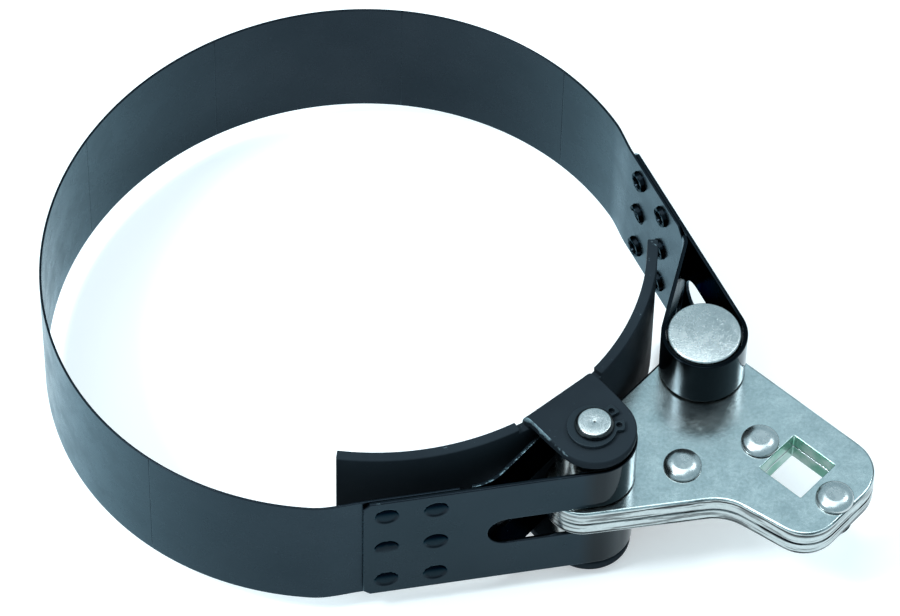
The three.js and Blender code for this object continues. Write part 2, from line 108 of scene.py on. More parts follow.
PLATE = 4.3
DRIVE, DRIVE_SIDE, DRIVE_TURN = Vector((107.35, -52.9)), 12.8, 47.5
RIVETS = ((79.8, -52.8), (98.7, -45.8), (115.9, -62.1))
RIVET_HEAD, RIVET_FLAT, RIVET_RISE, RIVET_EDGE, RIVET_TURN = 4.65, 2.2, 1.9, 0.3, 74
RING_SIDE, DRIVE_WALL, DRIVE_END = 8.7, 15.1, 17.1
WAIST, WAIST_ANGLE, NEAR_ANGLE = Vector((90.2, -61.9)), 146, 188.5
LEVER_CORNERS = (9.2, 8.6, 10.4, 9.0, 12.0)
LEVER_ROUND, LEVER_INNER_ROUND, DRIVE_CORNER = 0.6, 0.35, 0.35
DRIVE_RIMS, BORE_RIMS = (0.2, 0.1), (0.15, 0.15)
RIVET_HOLE = 3.1
SIDE_ROWS = (0.7, 0.9, 1.2, PLATE - 0.8, PLATE - 0.5)     # depths marked on the cut edge
BARREL_RADIUS, STEM_RADIUS, BARREL_CHAMFER, BARREL_FLOOR, BARREL_EASE = 9.0, 4.75, 0.4, 4.0, 0.15

SUPPORT = 0.12                            # flat margin beside a rounded edge, so that flat faces shade flat
SHARP = math.radians(42)
SLIVER = 0.002                            # flattest triangle kept, twice its area in square millimetres
SCAN_STEP, LAST_GAP = 0.25, 0.3
BAND_GRID, SHOE_GRID, LEVER_GRID = 3.2, 3.4, 3.0
CUT_GAP = 0.4                             # outline points nearer than this to a corner are left out
KEEP_OUT = 0.6                            # margin round a clinch, free of grid points

# painted shade and wear: 1 is full painted shade, more than 1 spreads it, and below 0 is bare metal from wear
# (on a dent's lower lip, a painted highlight)
# the band's edges wear bare; the clinch buttons' tops and sides carry painted shade
BAND_EDGE_AGE, BUTTON_TOP_SHADE, BUTTON_SIDE_SHADE = -0.12, 0.35, 0.85
STRAP_EDGE_AGE, STRAP_EDGE, LEG_LINE_AGE, LEG_LINE = -0.3, 0.3, -0.55, 24
# painted shade on a strap's inner face, and how far it takes to fade in
INSIDE_SHADE, INSIDE_SHADE_FADE = 0.6, 6
# painted shade in a dent, more on its upper side, and a painted highlight on its lower lip
DENT_FLOOR_SHADE, DENT_TOP_SHADE, DENT_LIP_HIGHLIGHT = 0.25, 0.5, -0.45
SHOE_EDGE_AGE, EAR_EDGE_AGE = -0.28, -0.6
# painted shade on the pivot pin's side and a painted shadow ring round each rivet's foot
PIN_SIDE_SHADE, RIVET_FOOT_SHADE = 3.0, 2.5
# painted shade on the lever's cut edge, darker in a line under the rim and where the plates meet
CUT_EDGE_SHADE, CUT_LINE_SHADE, PLATE_GAP_SHADE = 0.8, 3.0, 2.5
GLOSS_REACH, GLOSS_FADE = 0.1, 0.5        # how far past a loop its polish goes


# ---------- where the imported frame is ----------
def middle(node):
    low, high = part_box(node)
    return (low + high) / (2 * MM)


SHIFT = Vector((middle("pivot_pin").x - PIVOT.x, middle("pivot_pin").y - PIVOT.y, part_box("band_2")[0].z / MM))


def place(x, y, z):
    return (Vector((x, y, z)) + SHIFT) * MM


# ---------- plan geometry ----------
def heading(degrees):
    a = math.radians(degrees)
    return Vector((math.cos(a), math.sin(a)))


def right_of(d):
    return Vector((d.y, -d.x))


def smooth(t):
    t = min(max(t, 0.0), 1.0)
    return t * t * (3 - 2 * t)


def angle_of(d):
    return math.degrees(math.atan2(d.y, d.x))


def arc(centre, radius, start, end, step=2.5):
    n = max(1, round(abs(end - start) / step))
    return [centre + heading(start + (end - start) * i / n) * radius for i in range(n + 1)]


def meet(p, d, q, e):
    cross = d.x * e.y - d.y * e.x
    return p + d * (((q.x - p.x) * e.y - (q.y - p.y) * e.x) / cross)


def fillet(before, corner, after, radius, step=4.0):
    """Points that round the corner between two straight lines."""
    a = (before - corner).normalized()
    b = (after - corner).normalized()
    half = a.angle(b) / 2
    centre = corner + (a + b).normalized() * (radius / math.sin(half))
    start = angle_of(corner + a * (radius / math.tan(half)) - centre)
    end = angle_of(corner + b * (radius / math.tan(half)) - centre)
    sweep = (end - start + 180) % 360 - 180
    return arc(centre, radius, start, start + sweep, step)


def soften(points, radii):
    """A closed outline with its corners rounded."""
    n = len(points)
    out = []
    for i, p in enumerate(points):
        out += fillet(points[i - 1], p, points[(i + 1) % n], radii[i], step=7.0)
    return out


class Line:
    """A smooth line in plan, measured along its length."""

    def __init__(self, points):
        self.points = points
        self.s = [0.0]
        for a, b in zip(points, points[1:]):
            self.s.append(self.s[-1] + (b - a).length)
        self.length = self.s[-1]
        last = len(points) - 1
        self.ways = [(points[min(i + 1, last)] - points[max(i - 1, 0)]).normalized() for i in range(last + 1)]

    def at(self, s):
        s = min(max(s, 0.0), self.length)
        i = min(bisect_right(self.s, s) - 1, len(self.points) - 2)
        t = (s - self.s[i]) / (self.s[i + 1] - self.s[i])
        return self.points[i].lerp(self.points[i + 1], t), self.ways[i].lerp(self.ways[i + 1], t).normalized()

    def nearest(self, p):
        return self.s[min(range(len(self.points)), key=lambda i: (self.points[i] - p).length)]

    def stations(self, start, end, turn=3.0, step=3.6):
        """Places from start to end, closer together where the line bends."""
        n = max(2, math.ceil((end - start) / SCAN_STEP))
        found = [start]
        turned = 0.0
        way = self.at(start)[1]
        for i in range(1, n):
            s = start + (end - start) * i / n
            now = self.at(s)[1]
            turned += math.degrees(abs(way.angle_signed(now)))
            way = now
            if (turned >= turn or s - found[-1] >= step) and end - s > LAST_GAP:
                found.append(s)
                turned = 0.0
        return found + [end]


class Joint:
    """The straight line where a strap and the band lie on each other."""

    def __init__(self, strap):
        self.u = heading(strap["angle"])
        self.side = strap["side"]
        self.out = right_of(self.u) * self.side
        self.end = strap["centre"] + self.out * LOOP - self.u * strap["length"]
        self.lap = strap["leg"] - FIT

    def band_point(self, s):
        return self.end + self.u * s - self.out * (STRAP + TOUCH + BAND / 2)


NEAR = Joint(NEAR_STRAP)
FAR = Joint(FAR_STRAP)


# ---------- meshes ----------
def inset(ring, distance, pin):
    """A loop moved into its sheet. pin(p) says which coordinate stays where another piece meets the edge."""
    moved = []
    n = len(ring)
    for i, p in enumerate(ring):
        a = (p - ring[i - 1]).normalized()
        b = (ring[(i + 1) % n] - p).normalized()
        na, nb = Vector((-a.y, a.x)), Vector((-b.y, b.x))
        move = (na + nb) * (distance / max(1 + na.dot(nb), 0.3))
        kept = pin(p)
        if kept is not None:
            move[kept] = 0.0
        moved.append(p + move)
    return moved


def inside(p, ring):
    hit = False
    for i, a in enumerate(ring):
        b = ring[i - 1]
        if (a.y > p.y) != (b.y > p.y) and p.x < (b.x - a.x) * (p.y - a.y) / (b.y - a.y) + a.x:
            hit = not hit
    return hit


def rim(thick, upper, lower, rows):
    """(inset, depth) steps from the upper face over the rounded edges to the lower face."""
    turns = [math.radians(a) for a in (0, 30, 60, 90)]
    steps = [(upper + SUPPORT, 0.0)]
    steps += [(upper * (1 - math.sin(a)), upper * (1 - math.cos(a))) for a in turns]
    steps += [(0.0, depth) for depth in rows]
    steps += [(lower * (1 - math.sin(a)), thick - lower * (1 - math.cos(a))) for a in reversed(turns)]
    return steps + [(lower + SUPPORT, thick)]


def with_shade_and_wear(p, shade_and_wear, accent=0.0):
    """A vertex with its painted shade and wear, and an accent whose meaning is the material's."""
    return (*p, shade_and_wear, accent)


def finished(name, verts, faces, material, slot):
    mesh = bpy.data.meshes.new(name)
    mesh.from_pydata([v[:3] for v in verts], [], faces)
    for index, attribute in ((3, "shade_and_wear"), (4, "accent")):
        values = [v[index] if len(v) > index else 0.0 for v in verts]
        mesh.attributes.new(attribute, "FLOAT", "POINT").data.foreach_set("value", values)
    bm = bmesh.new()
    bm.from_mesh(mesh)
    bmesh.ops.remove_doubles(bm, verts=bm.verts, dist=1e-7)
    bmesh.ops.recalc_face_normals(bm, faces=bm.faces)
    bm.to_mesh(mesh)
    bm.free()
    mesh.shade_smooth()
    mesh.set_sharp_from_angle(angle=SHARP)
    obj = bpy.data.objects.new(name, mesh)
    bpy.context.scene.collection.objects.link(obj)
    mesh.materials.append(material)
    return obj


def sheet_mesh(loops, mapping, thick, rims, grid=(), circles=(), pin=lambda p: None, rows=()):
    """Vertices and faces of a closed sheet. loops are its outline, anticlockwise, and its holes, clockwise.
    rims are the roundings of each loop's upper and lower edges, and rows are depths marked on its sides."""
    verts, faces, flat, edges, corners = [], [], [], [], []
    for ring, (upper, lower) in zip(loops, rims):
        steps = rim(thick, upper, lower, rows)
        n = len(ring)
        first = len(verts)
        for distance, depth in steps:
            verts += [mapping(p.x, p.y, depth) for p in inset(ring, distance, pin)]
        for k in range(len(steps) - 1):
            a = first + k * n
            faces += [(a + i, a + (i + 1) % n, a + n + (i + 1) % n, a + n + i) for i in range(n)]
        start = len(flat)
        flat += inset(ring, steps[0][0], pin)
        edges += [(start + i, start + (i + 1) % n) for i in range(n)]
        corners += [(first + i, first + (len(steps) - 1) * n + i) for i in range(n)]
    borders = []
    start = 0
    for ring in loops:
        borders.append(flat[start:start + len(ring)])
        start += len(ring)
    free = list(grid)
    for ring in circles:
        start = len(flat) + len(free)
        free += ring
        edges += [(start + i, start + (i + 1) % len(ring)) for i in range(len(ring))]
    count = len(flat)
    points, _, triangles, source, _, _ = delaunay_2d_cdt(flat + free, edges, [], 0, 1e-6)
    ends = {}
    for i, p in enumerate(points):
        known = [k for k in source[i] if k < count]
        if known:
            ends[i] = corners[known[0]]
        else:
            ends[i] = (len(verts), len(verts) + 1)
            verts += [mapping(p.x, p.y, 0.0), mapping(p.x, p.y, thick)]
    for triangle in triangles:
        a, b, c = (points[i] for i in triangle)
        if abs((b - a).cross(c - a)) < SLIVER:
            continue
        centre = (a + b + c) / 3
        if inside(centre, borders[0]) and not any(inside(centre, hole) for hole in borders[1:]):
            faces.append(tuple(ends[i][0] for i in triangle))
            faces.append(tuple(ends[i][1] for i in reversed(triangle)))
    used = sorted({i for face in faces for i in face})
    index = {old: new for new, old in enumerate(used)}
    return [verts[i] for i in used], [tuple(index[i] for i in face) for face in faces]


def turned(name, profile, centre, material, slot, shade_and_wear=lambda r, z: 0.0, steps=96):
    """A body turned about a vertical axis; profile is (radius, z) from axis to axis."""
    verts, faces, rings = [], [], []
    for radius, z in profile:
        start = len(verts)
        if radius < 1e-6:
            verts.append(with_shade_and_wear(place(centre[0], centre[1], z), shade_and_wear(0.0, z)))
            rings.append([start] * steps)
        else:
            around = [Vector(centre) + heading(360 * i / steps) * radius for i in range(steps)]
            verts += [with_shade_and_wear(place(p.x, p.y, z), shade_and_wear(radius, z)) for p in around]
            rings.append(list(range(start, start + steps)))
    for low, high in zip(rings, rings[1:]):
        for i in range(steps):
            j = (i + 1) % steps
            face = (low[i], low[j], high[j], high[i])
            faces.append(tuple(dict.fromkeys(face)))
    return finished(name, verts, faces, material, slot)


def eased(points, radius):
    """A turned body's profile with its corners rounded."""
    out = [points[0]]
    for before, corner, after in zip(points, points[1:], points[2:]):
        p, q, r = Vector(before), Vector(corner), Vector(after)
        reach = min(radius, (p - q).length * 0.45, (r - q).length * 0.45)
        turn = (p - q).angle(r - q)
        if turn > math.radians(170):
            out.append(corner)
            continue
        out += [tuple(v) for v in fillet(p, q, r, reach * math.tan(turn / 2), step=20.0)]
    return out + [points[-1]]


def levels(low, high, step):
    n = max(1, round((high - low) / step))
    return [low + (high - low) * i / n for i in range(n + 1)]


def grid_points(stations, heights, rings, margin, keep_out=()):
    """Points over the sheet that are clear of its edges and of the round features."""
    found = []
    outline, holes = rings[0], rings[1:]
    for s in stations:
        for z in heights:
            p = Vector((s, z))
            if any((p - c).length < r for c, r in keep_out):
                continue
            if not inside(p, outline) or any(inside(p, hole) for hole in holes):
                continue
            if min((p - q).length for ring in rings for q in ring) > margin:
                found.append(p)
    return found


def circle(s, z, radius, n=32):
    return [Vector((s, z)) + heading(360 * i / n) * radius for i in range(n)]


# ---------- materials ----------
# near black for painted shade, also the base colour of polished strap loops
SHADE_AND_POLISH_BLACK = (0.005, 0.007, 0.009, 1.0)
# bare steel on edges that wear, also the painted highlight on a dent's lower lip
BARE_METAL_AND_LIP_HIGHLIGHT = (0.20, 0.27, 0.30, 1.0)
HOLE_GREEN = (0.12, 0.31, 0.23, 1.0)
POLISHED = (0.09, 0.09, 0.09, 1.0)        # roughness where a strap is polished
BRIGHT = (0.94, 0.98, 1.0, 1.0)           # reflection there
COOL = (0.76, 0.92, 1.0, 1.0)             # reflection elsewhere
SPECK_GAIN, SPECK_SHARE = 2.5, 0.3        # pale specks in dark steel
DIRT_GAIN = 0.45                          # dark specks in zinc
# how strongly values below 0 show bare steel: wear, and a dent lip's painted highlight
WEAR_AND_HIGHLIGHT_SPREAD = -0.6
STREAK_STRETCH = (0.3, 0.3, 4.0)
DARK_GRAIN, DARK_GRAIN_HEIGHT, ZINC_GRAIN_HEIGHT = 0.12, 0.00006, 0.00005


def shader(name):
    m = bpy.data.materials.new(name)
    m.use_nodes = True
    tree = m.node_tree
    return m, tree, tree.nodes["Principled BSDF"]


def node(tree, kind, inputs=None, **settings):
    n = tree.nodes.new(kind)
    for key, value in settings.items():
        setattr(n, key, value)
    for key, value in (inputs or {}).items():
        if isinstance(value, bpy.types.NodeSocket):
            tree.links.new(value, n.inputs[key])
        else:
            n.inputs[key].default_value = value
    return n


def noise(tree, where, scale, detail=4.0, roughness=0.55, stretch=None, swirl=0.0):
    vector = where
    if stretch:
        vector = node(tree, "ShaderNodeMapping", {"Vector": where, "Scale": stretch}).outputs[0]
    n = node(tree, "ShaderNodeTexNoise", {"Vector": vector, "Scale": scale, "Detail": detail,
                                          "Roughness": roughness, "Distortion": swirl})
    return n.outputs["Fac"]


def ramp(tree, fac, stops):
    n = node(tree, "ShaderNodeValToRGB", {"Fac": fac})
    while len(n.color_ramp.elements) < len(stops):
        n.color_ramp.elements.new(0.5)
    for element, (at, value) in zip(n.color_ramp.elements, stops):
        element.position = at
        element.color = (*value, 1.0) if isinstance(value, tuple) else (value, value, value, 1.0)
    return n.outputs["Color"]


def bump(tree, height, strength, distance):
    n = node(tree, "ShaderNodeBump", {"Height": height, "Strength": strength, "Distance": distance})
    return n.outputs["Normal"]


def mixed(tree, fac, a, b):
    n = node(tree, "ShaderNodeMix", data_type="RGBA")
    for socket, value in ((n.inputs[0], fac), (n.inputs[6], a), (n.inputs[7], b)):
        if isinstance(value, bpy.types.NodeSocket):
            tree.links.new(value, socket)
        else:
            socket.default_value = value
    return n.outputs[2]


def coords(tree):
    return node(tree, "ShaderNodeTexCoord").outputs["Object"]


def attribute(tree, name):
    return node(tree, "ShaderNodeAttribute", attribute_name=name).outputs["Fac"]


def maths(tree, operation, a, b, clamp=False):
    return node(tree, "ShaderNodeMath", {0: a, 1: b}, operation=operation, use_clamp=clamp).outputs[0]


def product(tree, a, b):
    return maths(tree, "MULTIPLY", a, b)


def total(tree, a, b):
    return maths(tree, "ADD", a, b)


def dark_metal(name, deep, pale, rough, specular, metallic=0.0, gloss=0.0):
    """Blackened or blued steel: slow colour changes, fine grain, painted shade in recesses and on faces that
    lie in shade, bare metal on edges that wear, and a painted highlight on dent lips.
    The accent is polish, and gloss says how much of it there is."""
    m, tree, bsdf = shader(name)
    where = coords(tree)
    shade_and_wear = attribute(tree, "shade_and_wear")
    tone = ramp(tree, noise(tree, where, scale=38, detail=5), ((0.3, deep), (0.7, pale)))
    specks = ramp(tree, noise(tree, where, scale=900, detail=3, roughness=0.7), ((0.66, 0.0), (0.74, 1.0)))
    tone = mixed(tree, product(tree, specks, SPECK_SHARE), tone, (*[c * SPECK_GAIN for c in pale], 1.0))
    # values below 0 show bare steel in patches: wear on edges, a painted highlight on dent lips
    bare_and_lit = maths(tree, "MULTIPLY", shade_and_wear, WEAR_AND_HIGHLIGHT_SPREAD, clamp=True)
    patchy = total(tree, noise(tree, where, scale=420, detail=5, roughness=0.75), bare_and_lit)
    tone = mixed(tree, ramp(tree, patchy, ((0.80, 0.0), (0.92, 1.0))), tone, BARE_METAL_AND_LIP_HIGHLIGHT)
    polish = product(tree, attribute(tree, "accent"), gloss)
    # painted shade darkens base colour and reflection towards near black; polish darkens the base colour too
    tree.links.new(mixed(tree, maths(tree, "MAXIMUM", shade_and_wear, polish), tone, SHADE_AND_POLISH_BLACK), bsdf.inputs["Base Color"])
    tree.links.new(mixed(tree, shade_and_wear, mixed(tree, polish, COOL, BRIGHT), SHADE_AND_POLISH_BLACK), bsdf.inputs["Specular Tint"])
    bsdf.inputs["Specular IOR Level"].default_value = specular
    bsdf.inputs["Metallic"].default_value = metallic
    uneven = noise(tree, where, scale=120, detail=6, roughness=0.65)
    roughness = ramp(tree, uneven, ((0.3, rough - 0.06), (0.7, rough + 0.07)))
    tree.links.new(mixed(tree, polish, roughness, POLISHED), bsdf.inputs["Roughness"])
    grains = noise(tree, where, scale=1500, detail=2, roughness=0.6)
    waves = noise(tree, where, scale=45, detail=3, roughness=0.5)
    relief = bump(tree, total(tree, grains, waves), DARK_GRAIN, DARK_GRAIN_HEIGHT)
    tree.links.new(relief, bsdf.inputs["Normal"])
    return m


def zinc_metal(name, deep, pale, rough, speck=0.35, grain=0.25, swirl=0.0):
    """Zinc-plated steel: cloudy plating, fine pitting, dark specks, and painted shade in streaks on cut edges
    and shaded parts.
    The accent is the green of plating in a narrow hole."""
    m, tree, bsdf = shader(name)
    where = coords(tree)
    cloud = noise(tree, where, scale=130, detail=8, roughness=0.75)
    fine = noise(tree, where, scale=1100, detail=3, roughness=0.7, swirl=swirl)
    tone = ramp(tree, product(tree, total(tree, cloud, fine), 0.5), ((0.38, deep), (0.62, pale)))
    dirt = ramp(tree, noise(tree, where, scale=620, detail=4, roughness=0.75), ((0.67, 0.0), (0.73, 1.0)))
    tone = mixed(tree, product(tree, dirt, speck), tone, (*[c * DIRT_GAIN for c in deep], 1.0))
    patches = ramp(tree, noise(tree, where, scale=200, detail=3, roughness=0.5), ((0.4, 1.0), (0.62, 0.55)))
    tone = mixed(tree, product(tree, attribute(tree, "accent"), patches), tone, HOLE_GREEN)
    # painted shade towards near black, broken into long streaks
    long_noise = noise(tree, where, scale=240, detail=4, roughness=0.6, stretch=STREAK_STRETCH)
    streaks = ramp(tree, long_noise, ((0.42, 1.0), (0.50, 0.3)))
    tone = mixed(tree, product(tree, attribute(tree, "shade_and_wear"), streaks), tone, SHADE_AND_POLISH_BLACK)
    tree.links.new(tone, bsdf.inputs["Base Color"])
    uneven = noise(tree, where, scale=260, detail=6, roughness=0.7)
    tree.links.new(ramp(tree, uneven, ((0.3, rough - 0.05), (0.7, rough + 0.06))), bsdf.inputs["Roughness"])
    pits = noise(tree, where, scale=1200, detail=4, roughness=0.7, swirl=swirl)
    waves = noise(tree, where, scale=160, detail=3, roughness=0.6)
    relief = bump(tree, total(tree, pits, waves), grain, ZINC_GRAIN_HEIGHT)
    tree.links.new(relief, bsdf.inputs["Normal"])
    bsdf.inputs["Metallic"].default_value = 1.0
    return m


BAND_STEEL = dark_metal("band_steel", (0.011, 0.015, 0.020), (0.016, 0.021, 0.027),
                        rough=0.27, specular=0.5, metallic=1.0, gloss=0.4)
STRAP_BLACK = dark_metal("strap_black", (0.010, 0.014, 0.018), (0.014, 0.018, 0.023),
                         rough=0.24, specular=0.5, metallic=1.0, gloss=1.0)
SHOE_BLACK = dark_metal("shoe_black", (0.016, 0.020, 0.025), (0.023, 0.029, 0.035),
                        rough=0.36, specular=0.002, metallic=0.0, gloss=0.4)
CLIP_BLACK = dark_metal("clip_black", (0.009, 0.013, 0.017), (0.015, 0.020, 0.025),
                        rough=0.3, specular=0.2)
LEVER_ZINC = zinc_metal("lever_zinc", (0.49, 0.54, 0.54), (0.61, 0.66, 0.66), rough=0.21)
RIVET_ZINC = zinc_metal("rivet_zinc", (0.41, 0.43, 0.43), (0.51, 0.52, 0.52), rough=0.27, speck=0.2)
PIN_ZINC = zinc_metal("pin_zinc", (0.43, 0.44, 0.44), (0.60, 0.60, 0.59),
                      rough=0.25, speck=0.2, grain=0.9, swirl=2.5)


# ---------- band ----------
def oval_point(degrees):
    t = math.radians(degrees - OVAL_TILT)
    a, b = OVAL_LONG - BAND / 2, OVAL_SHORT - BAND / 2
    return heading(degrees) * (a * b / math.hypot(b * math.cos(t), a * math.sin(t)))


def hand_over(degrees, joint):
    """An easy curve from the oval to a joint's straight line."""
    start, end = oval_point(degrees), joint.band_point(0)
    way = (oval_point(degrees - OVAL_STEP) - oval_point(degrees + OVAL_STEP)).normalized() * -joint.side
    pull = (start - end).length / 3
    p = (start, start + way * pull, end - joint.u * pull, end)
    points = []
    for i in range(HAND_OVER_STEPS + 1):
        t = i / HAND_OVER_STEPS
        w = ((1 - t) ** 3, 3 * t * (1 - t) ** 2, 3 * t * t * (1 - t), t ** 3)
        points.append(sum((q * k for q, k in zip(p, w)), Vector((0, 0))))
    return points


def band_line():
    near = (hand_over(OVAL_ENDS[0], NEAR)[1:] + [NEAR.band_point(NEAR.lap)])[::-1]
    oval = [oval_point(a) for a in levels(OVAL_ENDS[0], OVAL_ENDS[1], -OVAL_STEP)]
    return Line(near + oval + hand_over(OVAL_ENDS[1], FAR)[1:] + [FAR.band_point(FAR.lap)])


LINE = band_line()


def button(r, dz, lanced):
    """How far a clinch stands proud of the band's inner face at distance r from its middle."""
    rise = BUTTON_RISE * smooth((BUTTON_RADIUS - r) / BUTTON_WALL)
    rise -= DISH_DEPTH * smooth((DISH_RADIUS - r) / BUTTON_WALL)
    return rise * smooth((dz + LANCE_START) / LANCE_RUN) if lanced else rise


def band_map(s, z, d):
    p, way = LINE.at(s)
    out = -right_of(way)
    shade_and_wear = BAND_EDGE_AGE if 0 < d < BAND else 0.0
    gloss = 0.0
    if d > BAND / 2:
        for t, row, lanced in CLINCHES:
            r = math.hypot(s - t, z - MID - row)
            if r < BUTTON_RADIUS + BUTTON_SKIRT:
                d += button(r, z - MID - row, lanced)
                # a clinch button carries painted shade: light on its ring top, heavier on its sides and in its
                # dish
                on_top = DISH_RADIUS < r < BUTTON_RADIUS - BUTTON_WALL
                shade_and_wear = BUTTON_TOP_SHADE if on_top else BUTTON_SIDE_SHADE
                gloss = 1.0
    q = p + out * (BAND / 2 - d)
    return with_shade_and_wear(place(q.x, q.y, z), shade_and_wear, gloss)


CLINCHES = [(t, row, i == 0 and row == 0) for i, s in enumerate(COLUMNS) for row in ROWS
            for t in (NEAR.lap - s, LINE.length - FAR.lap + s)]
BUTTON_RINGS = (0.7, DISH_RADIUS - BUTTON_WALL, DISH_RADIUS - BUTTON_WALL / 2, DISH_RADIUS,
                BUTTON_RADIUS - BUTTON_WALL, BUTTON_RADIUS - BUTTON_WALL / 2, BUTTON_RADIUS,
                BUTTON_RADIUS + 0.12)


def band_piece(name, start, end, clipped):
    """One stretch of band. clipped is the coordinate of a free end with cut corners, or None."""
    stations = LINE.stations(start, end, turn=1.5, step=3.0)
    stations = [s for s in stations if SEAM_STEP < s - start < end - start - SEAM_STEP]
    stations = [start, start + SEAM_STEP / 2] + stations + [end - SEAM_STEP / 2, end]
    heights = levels(0, WIDTH, BAND_GRID)
    first = [Vector((start, z)) for z in reversed(heights[1:-1])]
    last = [Vector((end, z)) for z in heights[1:-1]]
    low = [Vector((s, 0.0)) for s in stations]
    high = [Vector((s, WIDTH)) for s in reversed(stations)]
    if clipped is not None:
        sign = 1 if clipped == start else -1
        cut = clipped + sign * LAP_CORNER
        low = [p for p in low if sign * (p.x - cut) > CUT_GAP]
        high = [p for p in high if sign * (p.x - cut) > CUT_GAP]
        edge = levels(LAP_CORNER, WIDTH - LAP_CORNER, BAND_GRID)
        end_points = [Vector((clipped, z)) for z in edge]
        if clipped == start:
            low = [Vector((cut, 0.0))] + low
            high = high + [Vector((cut, WIDTH))]
            first = end_points[::-1]
        else:
            low = low + [Vector((cut, 0.0))]
            high = [Vector((cut, WIDTH))] + high
            last = end_points
    ring = low + last + high + first
    seams = [s for s in (start, end) if s != clipped]
    near = [(Vector((t, MID + row)), BUTTON_RADIUS + KEEP_OUT) for t, row, _ in CLINCHES if start < t < end]
    circles = [circle(c.x, c.y, r) for c, _ in near for r in BUTTON_RINGS]
    grid = grid_points(stations[1:-1], heights, [ring], margin=0.5, keep_out=near) + [c for c, _ in near]
    verts, faces = sheet_mesh([ring], band_map, BAND, [(BAND_ROUND, BAND_ROUND)], grid, circles,
                              lambda p: 0 if p.x in seams else None)
    return finished(name, verts, faces, BAND_STEEL, "band_steel")


def make_band():
    marks = [LINE.nearest(oval_point(a)) for a in SEAMS]
    piece = band_piece("band_near_end", 0.0, marks[0], 0.0)
    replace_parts(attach(piece, "pivot_strap"), "band_1")
    for i, (start, end) in enumerate(zip(marks, marks[1:])):
        piece = band_piece(f"band_bend_{i + 1}", start - SEAM_LAP, end + SEAM_LAP, None)
        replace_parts(piece, f"band_{min(i + 2, 5)}")
        a, b = LINE.at(start)[0], LINE.at(end)[0]
        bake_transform(piece)
    piece = band_piece("band_far_end", marks[-1], LINE.length, LINE.length)
    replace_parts(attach(piece, "pull_strap"), "band_6")


# ---------- straps ----------
def strap_line(strap, joint):
    centre, ring = strap["centre"], LOOP - STRAP / 2
    start = joint.end - joint.out * (STRAP / 2)
    inner_way = heading(strap["inner"])
    inner_side = right_of(inner_way) * -joint.side
    inner_tangent = centre + inner_side * ring
    inner_start = start - joint.out * (STRAP + TOUCH) + joint.u * strap["leg"]
    bend = meet(inner_start, joint.u, inner_tangent, inner_way)
    a, b = angle_of(joint.out), angle_of(inner_side)
    b = a + (b - a) % 360 if joint.side > 0 else a - (a - b) % 360
    leg = fillet(inner_tangent, bend, inner_start, strap["bend"]) + [inner_start]
    return Line([start] + arc(centre, ring, a, b) + leg)


def dent_shading(r, dz):
    """Painted shade in a dent, most on its upper side, and a painted highlight along its lower lip."""
    lip = smooth(2.5 * (r - DENT_RADIUS) / DENT_WALL + 2.5) * smooth(-1.5 * dz / DENT_RADIUS)
    return DENT_FLOOR_SHADE + DENT_TOP_SHADE * smooth(dz / DENT_RADIUS + 0.4) + DENT_LIP_HIGHLIGHT * lip


